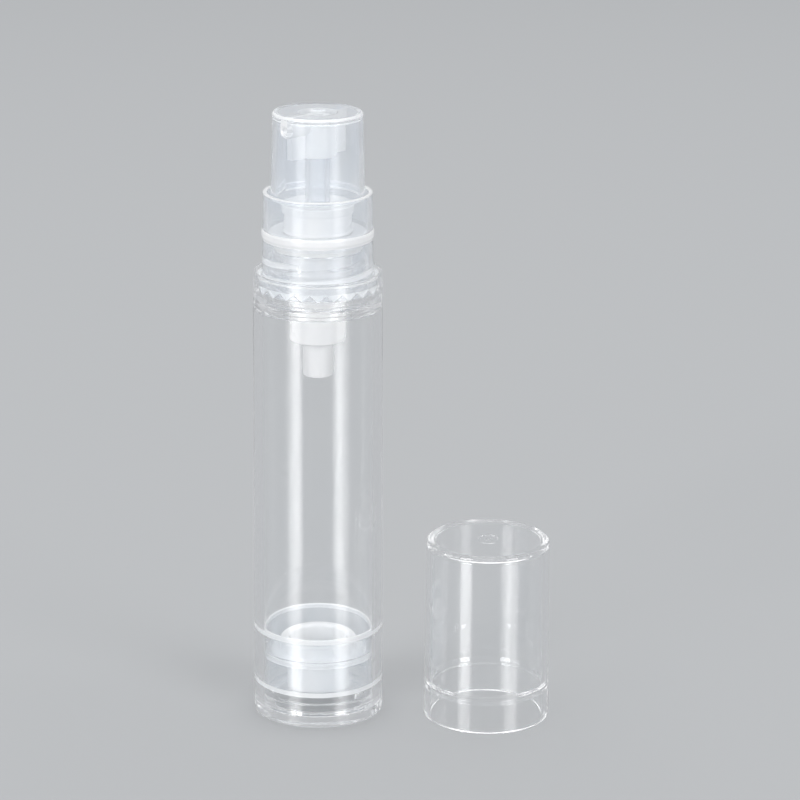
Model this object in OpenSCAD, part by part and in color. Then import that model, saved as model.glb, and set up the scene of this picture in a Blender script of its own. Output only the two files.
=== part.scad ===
// Small airless pump bottle for cream or serum: a thick clear body with a follower piston
// under the product, a screw-on pump with a press-down head, and a clear overcap that
// stands beside it. Millimetres, +Z up, origin at the middle of the body's flat base.

/* [Bottle body] */
// Radius of the bore that the follower slides in
bore_r = 8.46; // [8:0.02:9.6]
// Wall of the body just above the base
body_wall_low = 1.53; // [1.3:0.01:2]
// Wall of the body just below the shoulder
body_wall_high = 1.35; // [1.2:0.01:1.9]
// Height of the shoulder's flat top above the table
shoulder_z = 66.3; // [58:0.1:90]
// Thickness of the shoulder plate over the product
shoulder_t = 1.6; // [1.2:0.1:2.4]
// Rounding of the shoulder's outer edge
shoulder_round = 0.35; // [0.1:0.05:0.6]

/* [Neck and thread] */
// Height of the neck above the shoulder
neck_h = 7.5; // [7.2:0.1:9]
// Gap between the neck's bore and the pump housing
neck_gap = 0.1; // [0.05:0.01:0.2]
// Rise of the screw thread in one turn
thread_pitch = 2.5; // [2.2:0.1:2.8]
// Height of each thread ridge
thread_depth = 0.6; // [0.4:0.05:0.7]
// Gap between one thread's crest and the other's root
thread_gap = 0.3; // [0.2:0.02:0.4]
// Width of a thread ridge at its root
thread_root_w = 1.1; // [0.8:0.05:1.2]
// Width of a thread ridge at its crest
thread_crest_w = 0.45; // [0.3:0.05:0.6]
// Length of each thread in turns
thread_turns = 1.4; // [1.1:0.1:1.5]

/* [Base plug] */
// Thickness of the base plug's flange
plug_flange_t = 2; // [1.6:0.1:2.4]
// Height of the spigot that presses into the body
plug_spigot_h = 1.4; // [1:0.1:1.5]
// Wall of the spigot
plug_spigot_t = 1; // [0.7:0.05:1.4]
// Rounding of the foot's edge
foot_round = 0.4; // [0.2:0.05:0.6]
// Radius of the vent hole that lets air in under the follower
vent_r = 0.6; // [0.4:0.05:0.9]
// Distance of the vent hole to the side of the base's middle
vent_offset = 6.1; // [5:0.1:6.2]

/* [Follower piston] */
// Height of the follower from its lower lip to its upper lip
follower_h = 9.45; // [8.6:0.05:10.5]
// Gap between the follower's lips and the bore
lip_gap = 0.02; // [0.01:0.01:0.05]
// How far the waist is drawn in from the lips
waist_in = 0.25; // [0.15:0.01:0.4]
// Wall of the follower's skirt
skirt_t = 0.55; // [0.4:0.05:0.7]
// Height of the web above the follower's lower lip
web_rise = 4.55; // [4.2:0.05:4.9]
// Thickness of the web across the follower
web_t = 0.8; // [0.6:0.05:1]
// Height of the ring around the well above the web
well_ring_h = 2; // [1.5:0.1:2.5]
// Outer radius of the ring around the well
well_ring_r = 6; // [5.8:0.05:6.4]
// Wall of the well
well_t = 0.4; // [0.3:0.05:0.5]
// Gap between the well and the pump housing that enters it
well_gap = 0.17; // [0.12:0.01:0.25]

/* [Pump housing] */
// Outer radius of the pump barrel
barrel_r = 4.25; // [4.1:0.05:4.5]
// Radius of the pump chamber
chamber_r = 3.4; // [3.3:0.05:3.5]
// Length of the barrel below its flange
barrel_len = 14.8; // [13.4:0.1:16]
// Outer radius of the barrel's plug inside the neck
barrel_plug_r = 5.2; // [5:0.05:5.4]
// Length of the barrel's plug inside the neck
barrel_plug_len = 4; // [3:0.1:5]
// Thickness of the barrel's floor
barrel_floor_t = 1.2; // [1:0.1:1.5]
// Width of the housing's flange beyond its neck plug
housing_flange_w = 1.45; // [1.3:0.05:1.55]
// Thickness of the housing's flange
housing_flange_t = 0.9; // [0.7:0.05:1.2]
// Radius of the turret above the flange
turret_r = 5.1; // [5:0.05:5.3]
// Height of the turret above the flange
turret_h = 4.1; // [3.9:0.1:4.6]
// Height of the snap bead that holds the collar on the turret
turret_bead_rise = 0.25; // [0.15:0.05:0.35]

/* [Inlet valve] */
// Outer radius of the inlet tail
tail_r = 2.3; // [2.2:0.05:2.5]
// Length of the inlet tail below the barrel
tail_len = 5.6; // [5.4:0.1:6.2]
// Wall of the inlet tail
tail_t = 0.6; // [0.5:0.05:0.65]
// Radius of the inlet hole
inlet_r = 0.8; // [0.6:0.05:0.9]
// Radius of the inlet ball
ball_r = 1.5; // [1.45:0.01:1.6]
// How far the ball lifts off its seat
ball_lift = 0.8; // [0.5:0.05:0.9]

/* [Pump works] */
// Stroke of the pump
stroke = 5; // [4:0.1:5.5]
// Outer radius of the stem
stem_r = 1.88; // [1.75:0.01:1.95]
// Radius of the stem's outlet bore
stem_bore_r = 1.15; // [1:0.01:1.2]
// Gap around the stem where it runs in its guide and its socket
stem_gap = 0.04; // [0.02:0.01:0.08]
// Length of the piston seal
seal_len = 3.1; // [2.6:0.1:3.4]
// Play of the piston seal between the stem and the plunger
seal_play = 0.15; // [0.1:0.01:0.25]
// Thickness of the plunger's disc
plunger_disc_t = 0.8; // [0.6:0.05:1]
// Depth of the chaplet's guide plug in the turret
guide_depth = 2.8; // [2.4:0.1:3.2]
// Thickness of the chaplet's cap
chaplet_t = 1.3; // [1:0.05:1.6]
// How far the chaplet's cap stands out beyond the turret
chaplet_rim = 0.5; // [0.4:0.02:0.6]
// Thickness of the neck gasket
gasket_t = 0.6; // [0.4:0.05:1]

/* [Return spring] */
// Mean radius of the return spring
spring_r = 2.5; // [2.35:0.05:2.7]
// Diameter of the spring wire
spring_wire = 0.45; // [0.35:0.01:0.5]
// Number of turns of the spring
spring_turns = 6; // [5:1:7]

/* [Screw collar and ring] */
// Height of the collar's sleeve above its deck
sleeve_h = 6.2; // [5.4:0.1:7]
// Wall of the sleeve at its rim
sleeve_wall = 0.58; // [0.5:0.01:0.6]
// Outward spread of the sleeve down to the cap bead
sleeve_spread = 0.13; // [0.1:0.01:0.2]
// Wall of the collar around the thread
collar_wall = 0.64; // [0.55:0.01:0.7]
// Thickness of the collar's deck
deck_t = 0.9; // [0.7:0.05:1.2]
// Rise of the cap bead above the sleeve
cap_bead_rise = 0.16; // [0.12:0.01:0.22]
// Height of the cap bead
cap_bead_h = 1.5; // [1.2:0.05:1.8]
// Height of the shoulder ring
ring_h = 4.05; // [3.8:0.05:4.4]
// Wall of the shoulder ring at its rim
ring_rim_t = 0.3; // [0.25:0.01:0.4]
// Height of the coupling teeth
tooth_h = 1; // [0.7:0.05:1.1]
// Number of coupling teeth
tooth_count = 24; // [16:1:26]
// Length of the coupling teeth along the radius
tooth_len = 0.6; // [0.4:0.05:0.7]
// Thickness of the collar's flange over the teeth
collar_flange_t = 1.3; // [1:0.05:1.4]

/* [Pump head] */
// Gap between the head's skirt and the collar's sleeve
head_gap = 0.5; // [0.35:0.01:0.6]
// Height of the head
head_h = 13.1; // [12.4:0.1:14.5]
// Inward draft of the head from skirt to top
head_draft = 0.35; // [0.2:0.01:0.5]
// Rounding of the head's top edge
head_round = 0.45; // [0.3:0.05:0.6]
// Wall of the head
head_wall = 0.7; // [0.55:0.05:0.85]
// Outer radius of the socket for the stem
socket_r = 2.85; // [2.7:0.05:3.1]
// Depth of the socket below the top of the head
socket_depth = 6.7; // [6.3:0.1:7]
// Outer radius of the nozzle tube
nozzle_r = 1.3; // [1.15:0.05:1.4]
// Radius of the nozzle's hole
nozzle_hole_r = 0.45; // [0.35:0.05:0.6]
// Depth of the nozzle's centre below the top of the head
nozzle_depth = 2.05; // [1.9:0.05:2.3]
// Direction of the nozzle around the bottle
nozzle_angle = 223; // [180:1:270]
// Thickness of the two ribs under the top of the head
rib_t = 0.9; // [0.6:0.05:1.2]
// Reach of the ribs from the middle of the head
rib_reach = 5.5; // [4.5:0.1:5.8]

/* [Overcap] */
// Wall of the overcap at its mouth
cap_wall = 1; // [0.9:0.01:1.1]
// Room between the cap's bore and the bead it snaps over
cap_gap = 0.25; // [0.2:0.01:0.35]
// Inward draft of the overcap from mouth to top
cap_draft = 0.3; // [0.15:0.01:0.4]
// Rounding of the overcap's top edge
cap_round = 0.6; // [0.4:0.05:0.9]
// Thickness of the overcap's top
cap_top_t = 1; // [0.8:0.05:1.3]
// Room above the head when the cap is on
cap_headroom = 3.25; // [2.5:0.05:4.5]
// Sideways place of the cap that stands beside the bottle
cap_x = 26.15; // [22:0.05:34]
// Forward place of the cap that stands beside the bottle
cap_y = -2.65; // [-6:0.05:6]

/* [Hidden] */
$fn = 96;

clear = [0.86, 0.92, 0.96, 0.35];
frosted = [0.88, 0.92, 0.95, 0.6];

eps = 0.01;
overcut = 1;
seat_gap = 0.05;
arc_steps = 6;

// Radii that follow from the body, from the outside in: ring, cap, collar, thread and neck
body_low_r = bore_r + body_wall_low;
body_high_r = bore_r + body_wall_high;
flush_step = 0.02;
ring_low_r = body_high_r - flush_step;
ring_taper = 0.19;
ring_rim_r = ring_low_r - ring_taper;
ring_inner_r = ring_rim_r - ring_rim_t;
cap_step = 0.06;
cap_r = body_high_r - cap_step;
cap_bore_r = cap_r - cap_wall;
bead_r = cap_bore_r - cap_gap;
sleeve_low_r = bead_r - cap_bead_rise;
sleeve_rim_r = sleeve_low_r - sleeve_spread;
sleeve_bore_r = sleeve_rim_r - sleeve_wall;
flush_inset = 0.04;
collar_low_r = bead_r - flush_inset;
collar_bore_r = collar_low_r - collar_wall;
thread_crest_r = collar_bore_r - thread_gap;
neck_r = thread_crest_r - thread_depth;
neck_bore_r = barrel_plug_r + neck_gap;
head_skirt_r = sleeve_bore_r - head_gap;

// Heights from the table up
body_bottom_z = plug_flange_t;
chamber_top_z = shoulder_z - shoulder_t;
neck_top_z = shoulder_z + neck_h;
gasket_z = neck_top_z + seat_gap;
housing_flange_z = gasket_z + gasket_t;
housing_flange_top_z = housing_flange_z + housing_flange_t;
deck_z = housing_flange_top_z + seat_gap;
deck_top_z = deck_z + deck_t;
sleeve_top_z = deck_top_z + sleeve_h;
turret_top_z = housing_flange_top_z + turret_h;
chaplet_z = turret_top_z + eps;
chaplet_top_z = chaplet_z + chaplet_t;
guide_z = chaplet_z - guide_depth;
barrel_z = housing_flange_z - barrel_len;
chamber_z = barrel_z + barrel_floor_t;
tail_z = barrel_z - tail_len;

// Shoulder ring and the toothed joint between it and the collar
ring_z = shoulder_z + seat_gap;
ring_rim_z = ring_z + ring_h;
ring_floor_t = 1.2;
ring_floor_z = ring_z + ring_floor_t;
ring_bore_r = collar_bore_r;
tooth_gap = 0.06;
collar_z = ring_floor_z + tooth_gap;
collar_flange_z = collar_z + tooth_h;
collar_flange_r = ring_inner_r - flush_inset;
tooth_inner_r = collar_flange_r - tooth_len;
tooth_pitch_w = 2 * tooth_inner_r * tan(180 / tooth_count);

// Pump works, hung from the chaplet's guide
works_gap = 0.3;
stem_flange_t = 1.2;
stem_flange_room = 0.8;
stem_flange_r = chamber_r - stem_flange_room;
stem_flange_top_z = guide_z - works_gap;
stem_flange_z = stem_flange_top_z - stem_flange_t;
seal_z = stem_flange_z - seal_play - seal_len;
plunger_top_z = seal_z - seal_play;
plunger_z = plunger_top_z - plunger_disc_t;
rod_r = stem_bore_r - seat_gap;
rod_len = 7.2;
disc_room = 0.45;
seal_waist = 0.7;
turret_t = 0.75;
guide_counterbore_r = turret_r - turret_t;

// Pump head, which rests one stroke above the collar's deck
head_clear = 0.3;
head_z = deck_top_z + stroke + head_clear;
head_top_z = head_z + head_h;
head_top_t = 0.9;
head_top_r = head_skirt_r - head_draft;
socket_z = head_top_z - socket_depth;
socket_hole = 3.2;
socket_lead = 0.35;
stem_top_z = socket_z + socket_hole - seat_gap;
nozzle_z = head_top_z - nozzle_depth;
outlet_r = 0.9;
nozzle_mouth_inset = 0.15;
nozzle_mouth_r = head_top_r - nozzle_mouth_inset;
nozzle_flare_r = 2 * nozzle_hole_r;
nozzle_flare_depth = 0.3;
gate_r = 1.3;
gate_depth = 0.3;

// Cone that the inlet ball sits on
tail_bore_r = tail_r - tail_t;
inlet_len = 2.1;
seat_cone_h = 1.4;
seat_cone_z = tail_z + inlet_len;
seat_slope = atan((tail_bore_r - inlet_r) / seat_cone_h);
ball_rest_gap = 0.02;
ball_z = seat_cone_z + (ball_r / cos(seat_slope) - inlet_r) / tan(seat_slope) + ball_rest_gap;
cage_r = 1.2;
cage_z = ball_z + ball_r + ball_lift + seat_gap;

// Follower at the bottom of a full bottle
follower_rest_gap = 0.3;
plug_top_z = plug_flange_t + plug_spigot_h;
well_floor_t = 0.4;
well_lift = 0.2;
well_drop = 0.75;
well_z = plug_top_z + follower_rest_gap + well_lift;
follower_z = well_z + well_drop;
follower_top_z = follower_z + follower_h;
lip_r = bore_r - lip_gap;
lip_band = 0.8;
lip_t = 0.35;
waist_r = lip_r - waist_in;
web_z = follower_z + web_rise;
web_top_z = web_z + web_t;
well_r = barrel_r + well_gap;
well_ring_top_z = web_top_z + well_ring_h;
hub_round = (well_ring_r - well_r) / 2;

// Overcap, which seats on the shoulder ring's rim when it is on
cap_h = head_top_z - ring_rim_z + cap_headroom + cap_top_t;
cap_bead_drop = 0.1;
cap_bead_z = deck_top_z - cap_bead_drop;
cap_snap_rise = 0.3;
cap_snap_w = 0.5;
cap_snap_room = 0.1;
cap_snap_z = cap_bead_z - ring_rim_z - cap_bead_h / 2 - cap_snap_room;
cap_gate_r = 1.45;
cap_gate_depth = 0.2;

// Thread ridges: steps in a turn, the run-out at each end, and where they start
thread_steps = 24;
thread_fade = 3;
thread_bury = 0.15;
thread_start_h = 3.3;
male_z = shoulder_z + thread_start_h;
female_lead = 0.3;
female_z = male_z - thread_pitch / 2 + thread_pitch * female_lead;

// Points of an arc in the half plane that is spun, counter-clockwise from one angle to another
function arc(cx, cz, r, from, to) =
    [for (i = [0:arc_steps]) let (a = from + (to - from) * i / arc_steps) [cx + r * cos(a), cz + r * sin(a)]];

module tube(outer_r, inner_r, low_z, high_z) {
    translate([0, 0, low_z]) difference() {
        cylinder(r = outer_r, h = high_z - low_z);
        translate([0, 0, -overcut]) cylinder(r = inner_r, h = high_z - low_z + 2 * overcut);
    }
}

// One ridge that climbs around the axis, buried in its wall and fading out at both ends
module thread_ridge(wall_r, crest_r, low_z, lead) {
    outward = crest_r > wall_r;
    buried_r = wall_r + (outward ? -thread_bury : thread_bury);
    steps = ceil(thread_turns * thread_steps);
    points = [for (i = [0:steps])
        let (a = 360 * (lead + thread_turns * i / steps),
             z = low_z + thread_pitch * thread_turns * i / steps,
             fade = min(1, (i + 0.5) / thread_fade, (steps - i + 0.5) / thread_fade),
             tip_r = wall_r + (crest_r - wall_r) * fade)
        each [for (p = [[buried_r, -thread_root_w / 2], [tip_r, -thread_crest_w / 2],
                        [tip_r, thread_crest_w / 2], [buried_r, thread_root_w / 2]])
            [p[0] * cos(a), p[0] * sin(a), z + p[1]]]];
    last = 4 * steps;
    faces = concat([[0, 3, 2], [0, 2, 1], [last, last + 1, last + 2], [last, last + 2, last + 3]],
        [for (i = [0:steps - 1], k = [0:3])
            let (a = 4 * i + k, b = 4 * i + (k + 1) % 4)
            each [[a, b, b + 4], [a, b + 4, a + 4]]]);
    polyhedron(points, outward ? faces : [for (f = faces) [f[2], f[1], f[0]]]);
}

// Crown of V teeth around the axis, pointing up or down from their root plane
module tooth_crown(inner_r, outer_r, root_z, up, turn) {
    side = up ? 1 : -1;
    for (i = [0:tooth_count - 1])
        rotate([0, 0, 360 * (i + turn) / tooth_count])
            translate([inner_r, 0, root_z])
                rotate([90, 0, 90])
                    linear_extrude(outer_r - inner_r)
                        polygon([[-tooth_pitch_w / 2, 0], [-tooth_pitch_w / 2, -side * eps * 5],
                                 [tooth_pitch_w / 2, -side * eps * 5], [tooth_pitch_w / 2, 0],
                                 [0, side * (tooth_h - tooth_gap)]]);
}

// Thick clear tube, closed at the top by the shoulder, with the threaded neck moulded on
module bottle_body() {
    edge = 0.15;
    color(clear) {
        difference() {
            rotate_extrude() polygon(concat(
                [[neck_bore_r, body_bottom_z], [body_low_r - edge, body_bottom_z],
                 [body_low_r, body_bottom_z + edge]],
                arc(body_high_r - shoulder_round, shoulder_z - shoulder_round, shoulder_round, 0, 90),
                [[neck_r + edge, shoulder_z], [neck_r, shoulder_z + edge],
                 [neck_r, neck_top_z - edge], [neck_r - edge, neck_top_z], [neck_bore_r, neck_top_z]]));
            translate([0, 0, body_bottom_z - overcut])
                cylinder(r = bore_r, h = chamber_top_z - body_bottom_z + overcut);
        }
        thread_ridge(neck_r, thread_crest_r, male_z, 0);
    }
}

// Clear plug pressed into the open bottom of the body, with its vent hole near the spigot
module base_plug() {
    spigot_r = bore_r - lip_gap;
    edge = 0.15;
    color(clear) difference() {
        rotate_extrude() polygon(concat(
            [[0, 0]], arc(body_low_r - foot_round, foot_round, foot_round, -90, 0),
            [[body_low_r, plug_flange_t - edge], [body_low_r - edge, plug_flange_t - eps],
             [spigot_r, plug_flange_t - eps], [spigot_r, plug_top_z - edge],
             [spigot_r - edge, plug_top_z], [spigot_r - plug_spigot_t, plug_top_z],
             [spigot_r - plug_spigot_t - edge, plug_flange_t], [0, plug_flange_t]]));
        translate([vent_offset, 0, -overcut])
            cylinder(r = vent_r, h = plug_flange_t + 2 * overcut, $fn = 48);
    }
}

// Soft piston with a wiping lip at each end and a well that takes in the pump's tail
module follower_piston() {
    well_outer_r = well_r + well_t;
    foot = 0.3;
    color(frosted) rotate_extrude() polygon(concat(
        [[0, well_z], [well_outer_r - foot, well_z], [well_outer_r, well_z + foot],
         [well_outer_r, well_ring_top_z - web_t], [well_ring_r - skirt_t, well_ring_top_z - web_t],
         [well_ring_r - skirt_t, web_z], [waist_r - skirt_t, web_z],
         [lip_r - lip_t, follower_z], [lip_r, follower_z], [lip_r, follower_z + lip_band],
         [waist_r, (follower_z + follower_top_z) / 2], [lip_r, follower_top_z - lip_band],
         [lip_r, follower_top_z], [lip_r - lip_t, follower_top_z],
         [waist_r - skirt_t, web_top_z], [well_ring_r, web_top_z]],
        arc(well_ring_r - hub_round, well_ring_top_z - hub_round, hub_round, 0, 180),
        [[well_r, well_z + well_floor_t], [0, well_z + well_floor_t]]));
}

// Foam ring that seals the pump's flange on the neck
module neck_gasket() {
    color("white") tube(barrel_plug_r + housing_flange_w, barrel_plug_r + seat_gap,
        gasket_z, housing_flange_z - eps);
}

// White pump barrel with its flange, turret, snap bead and the inlet tail that cages the ball
module pump_housing() {
    foot = 0.25;
    foot_flare = 0.05;
    flare_h = 2;
    cone_h = 1;
    bead_z = deck_top_z + 0.1;
    bead_h = 0.5;
    bead_top_r = turret_r + turret_bead_rise;
    color("white") difference() {
        rotate_extrude() polygon([[0, tail_z], [tail_r - foot, tail_z], [tail_r, tail_z + foot],
            [tail_r + foot_flare, barrel_z], [barrel_r - foot / 2, barrel_z],
            [barrel_r + foot_flare, barrel_z + foot / 2], [barrel_r, barrel_z + flare_h],
            [barrel_r, housing_flange_z - barrel_plug_len - cone_h],
            [barrel_plug_r, housing_flange_z - barrel_plug_len], [barrel_plug_r, housing_flange_z],
            [barrel_plug_r + housing_flange_w, housing_flange_z],
            [barrel_plug_r + housing_flange_w, housing_flange_top_z], [turret_r, housing_flange_top_z],
            [turret_r, bead_z], [bead_top_r, bead_z + 0.1], [bead_top_r, bead_z + 0.2],
            [turret_r, bead_z + bead_h], [turret_r, turret_top_z], [0, turret_top_z]]);
        translate([0, 0, chamber_z]) cylinder(r = chamber_r, h = turret_top_z - chamber_z + overcut);
        translate([0, 0, guide_z - works_gap]) cylinder(r = guide_counterbore_r, h = turret_h);
        translate([0, 0, cage_z - eps]) cylinder(r = cage_r, h = chamber_z - cage_z + overcut);
        translate([0, 0, seat_cone_z + seat_cone_h])
            cylinder(r = tail_bore_r, h = cage_z - seat_cone_z - seat_cone_h);
        translate([0, 0, seat_cone_z]) cylinder(r1 = inlet_r, r2 = tail_bore_r, h = seat_cone_h + eps);
        translate([0, 0, tail_z - overcut]) cylinder(r = inlet_r, h = inlet_len + 2 * overcut);
    }
}

// Ball that closes the inlet while the head is pressed
module inlet_ball() {
    color("silver") translate([0, 0, ball_z]) sphere(r = ball_r);
}

// Coil spring between the chamber's floor and the plunger, one unbroken tube
module return_spring() {
    rings = 8;
    sides = 6;
    low_z = chamber_z + spring_wire / 2 + eps;
    high_z = plunger_z - spring_wire / 2 - eps;
    steps = spring_turns * rings;
    rise = high_z - low_z;
    tilt = atan(rise / spring_turns / (2 * PI * spring_r));
    points = [for (i = [0:steps], k = [0:sides - 1])
        let (a = 360 * i / rings, b = 360 * k / sides,
             r = spring_r + spring_wire / 2 * cos(b),
             h = spring_wire / 2 * sin(b))
        [r * cos(a) + h * sin(tilt) * sin(a), r * sin(a) - h * sin(tilt) * cos(a),
         low_z + rise * i / steps + h * cos(tilt)]];
    last = sides * steps;
    faces = concat([for (k = [1:sides - 2]) [0, k + 1, k]],
        [for (k = [1:sides - 2]) [last, last + k, last + k + 1]],
        [for (i = [0:steps - 1], k = [0:sides - 1])
            let (a = sides * i + k, b = sides * i + (k + 1) % sides)
            each [[a, b, b + sides], [a, b + sides, a + sides]]]);
    least_gap = min([for (j = [rings:2 * rings], k = [0:sides - 1], m = [0:sides - 1])
        norm(points[sides * rings + k] - points[sides * (rings + j) + m])]);
    echo(spring_least_gap = least_gap);
    color("silver") polyhedron(points, faces);
}

// Plunger with the disc that the spring pushes up and the rod that stands in the stem
module plunger_rod() {
    flat = rod_r * 0.6;
    color("white") {
        tube(chamber_r - disc_room, rod_r / 2, plunger_z, plunger_top_z);
        difference() {
            translate([0, 0, plunger_z]) cylinder(r = rod_r, h = rod_len);
            translate([flat, -stem_r, plunger_top_z]) cube([stem_r, 2 * stem_r, rod_len]);
        }
    }
}

// Soft seal with a lip at each end, which slides a little between stem and plunger
module piston_seal() {
    lip = chamber_r - lip_gap;
    body = lip - seal_waist;
    flare = 0.7;
    seal_top_z = seal_z + seal_len;
    color("white") rotate_extrude() polygon([[rod_r + 0.1, seal_z], [lip - 0.3, seal_z], [lip, seal_z + 0.1],
        [lip, seal_z + 0.3], [body, seal_z + flare], [body, seal_top_z - flare], [lip, seal_top_z - 0.3],
        [lip, seal_top_z - 0.1], [lip - 0.3, seal_top_z], [rod_r + 0.1, seal_top_z]]);
}

// Hollow stem that carries the product up into the head
module pump_stem() {
    color(frosted) difference() {
        union() {
            translate([0, 0, stem_flange_z]) cylinder(r = stem_r, h = stem_top_z - stem_flange_z);
            translate([0, 0, stem_flange_z]) cylinder(r = stem_flange_r, h = stem_flange_t);
        }
        translate([0, 0, stem_flange_z - overcut])
            cylinder(r = stem_bore_r, h = stem_top_z - stem_flange_z + 2 * overcut);
    }
}

// Cap that closes the turret and guides the stem
module chaplet() {
    rim_r = turret_r + chaplet_rim;
    edge = 0.1;
    color(frosted) difference() {
        rotate_extrude() polygon([[0, guide_z], [guide_counterbore_r - seat_gap, guide_z],
            [guide_counterbore_r - seat_gap, chaplet_z], [rim_r - edge, chaplet_z],
            [rim_r, chaplet_top_z - edge], [rim_r - edge, chaplet_top_z], [0, chaplet_top_z]]);
        translate([0, 0, guide_z - overcut])
            cylinder(r = stem_r + stem_gap, h = guide_depth + chaplet_t + 2 * overcut);
    }
}

// Screw collar with an open sleeve, the cap bead, the inner thread and the toothed flange
module screw_collar() {
    edge = 0.12;
    bead_half = cap_bead_h / 2;
    step_drop = 1.5;
    collar_step_z = cap_bead_z - step_drop;
    color(frosted) {
        rotate_extrude() polygon([[collar_bore_r, collar_z], [collar_low_r, collar_z],
            [collar_low_r, collar_flange_z], [collar_flange_r, collar_flange_z],
            [collar_flange_r, collar_flange_z + collar_flange_t],
            [collar_low_r, collar_flange_z + collar_flange_t],
            [sleeve_low_r, collar_step_z], [sleeve_low_r, cap_bead_z - bead_half],
            [bead_r, cap_bead_z - bead_half / 3], [bead_r, cap_bead_z + bead_half / 3],
            [sleeve_low_r - 0.02, cap_bead_z + bead_half], [sleeve_rim_r, sleeve_top_z - edge],
            [sleeve_rim_r - edge, sleeve_top_z], [sleeve_bore_r + edge, sleeve_top_z],
            [sleeve_bore_r, sleeve_top_z - edge], [sleeve_bore_r, deck_top_z],
            [turret_r + 0.1, deck_top_z], [turret_r + 0.1, deck_z], [collar_bore_r, deck_z]]);
        thread_ridge(collar_bore_r, neck_r + thread_gap, female_z, female_lead);
        intersection() {
            tooth_crown(tooth_inner_r, collar_flange_r, collar_flange_z, false, 0);
            translate([0, 0, collar_z]) cylinder(r = collar_flange_r, h = tooth_h + collar_flange_t);
        }
    }
}

// Clear ring that seats on the shoulder, with a crown of teeth and a thin upstanding rim
module shoulder_ring() {
    edge = 0.3;
    fillet = 0.08;
    color(clear) {
        rotate_extrude() polygon([[ring_bore_r, ring_z], [ring_low_r - edge, ring_z],
            [ring_low_r, ring_z + edge], [ring_low_r - 0.01, ring_z + ring_h * 0.45],
            [ring_rim_r, ring_rim_z - fillet], [ring_rim_r - fillet, ring_rim_z],
            [ring_inner_r + fillet, ring_rim_z], [ring_inner_r, ring_rim_z - fillet],
            [ring_inner_r, ring_floor_z], [ring_bore_r, ring_floor_z]]);
        tooth_crown(tooth_inner_r, ring_inner_r + eps * 5, ring_floor_z, true, 0.5);
    }
}

// Press-down head: thin shell, stem socket, nozzle tube and two ribs
module actuator() {
    inner_top_z = head_top_z - head_top_t;
    inner_top_r = head_top_r - head_wall;
    hung_h = inner_top_z - socket_z + head_top_t / 2;
    color(frosted) difference() {
        union() {
            rotate_extrude() polygon(concat([[head_skirt_r - head_wall, head_z], [head_skirt_r, head_z]],
                arc(head_top_r - head_round, head_top_z - head_round, head_round, 0, 90),
                [[0, head_top_z], [0, inner_top_z], [inner_top_r, inner_top_z]]));
            translate([0, 0, socket_z]) cylinder(r = socket_r, h = hung_h);
            rotate([0, 0, nozzle_angle]) {
                translate([0, 0, nozzle_z]) rotate([0, 90, 0])
                    cylinder(r = nozzle_r, h = head_top_r - head_wall / 2);
                translate([-rib_reach, -rib_t / 2, socket_z]) cube([2 * rib_reach, rib_t, hung_h]);
            }
        }
        rotate_extrude() polygon([[0, socket_z - overcut], [stem_r + socket_lead, socket_z - overcut],
            [stem_r + socket_lead, socket_z], [stem_r + stem_gap, socket_z + socket_lead],
            [stem_r + stem_gap, socket_z + socket_hole], [outlet_r, socket_z + socket_hole],
            [outlet_r, nozzle_z], [0, nozzle_z]]);
        translate([0, 0, nozzle_z]) rotate([0, 90, nozzle_angle])
            rotate_extrude($fn = 48) polygon([[0, 0], [nozzle_hole_r, 0],
                [nozzle_hole_r, nozzle_mouth_r], [nozzle_flare_r, nozzle_mouth_r + nozzle_flare_depth],
                [nozzle_flare_r, head_skirt_r + overcut], [0, head_skirt_r + overcut]]);
        translate([0, 0, head_top_z - gate_depth])
            cylinder(r1 = gate_r - gate_depth, r2 = gate_r + eps, h = gate_depth + eps);
    }
}

// Clear overcap standing on its mouth beside the bottle
module overcap() {
    edge = 0.2;
    top_r = cap_r - cap_draft;
    inner_top_z = cap_h - cap_top_t;
    inner_round = cap_round * 0.8;
    inner_top_r = top_r - cap_wall;
    snap_r = cap_bore_r - cap_snap_rise;
    color(clear) translate([cap_x, cap_y, 0]) difference() {
        rotate_extrude() polygon(concat(
            [[cap_bore_r + edge / 2, 0], [cap_r - edge, 0], [cap_r, edge]],
            arc(top_r - cap_round, cap_h - cap_round, cap_round, 0, 90),
            [[0, cap_h], [0, inner_top_z]],
            arc(inner_top_r - inner_round, inner_top_z - inner_round, inner_round, 90, 0),
            [[cap_bore_r - 0.05, cap_snap_z + 2 * cap_snap_w], [snap_r, cap_snap_z + cap_snap_w / 2],
             [snap_r, cap_snap_z], [cap_bore_r, cap_snap_z - cap_snap_w],
             [cap_bore_r, edge]]));
        translate([0, 0, cap_h - cap_gate_depth]) difference() {
            cylinder(r = cap_gate_r, h = cap_gate_depth + overcut);
            cylinder(r1 = cap_gate_r / 3, r2 = 0.1, h = cap_gate_depth);
        }
    }
}

bottle_body();
base_plug();
follower_piston();
neck_gasket();
pump_housing();
inlet_ball();
return_spring();
plunger_rod();
piston_seal();
pump_stem();
chaplet();
screw_collar();
shoulder_ring();
actuator();
overcap();
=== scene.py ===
from math import atan2, cos, pi, radians, sin, tan

import bpy
import numpy as np
from mathutils import Matrix, Vector


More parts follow.
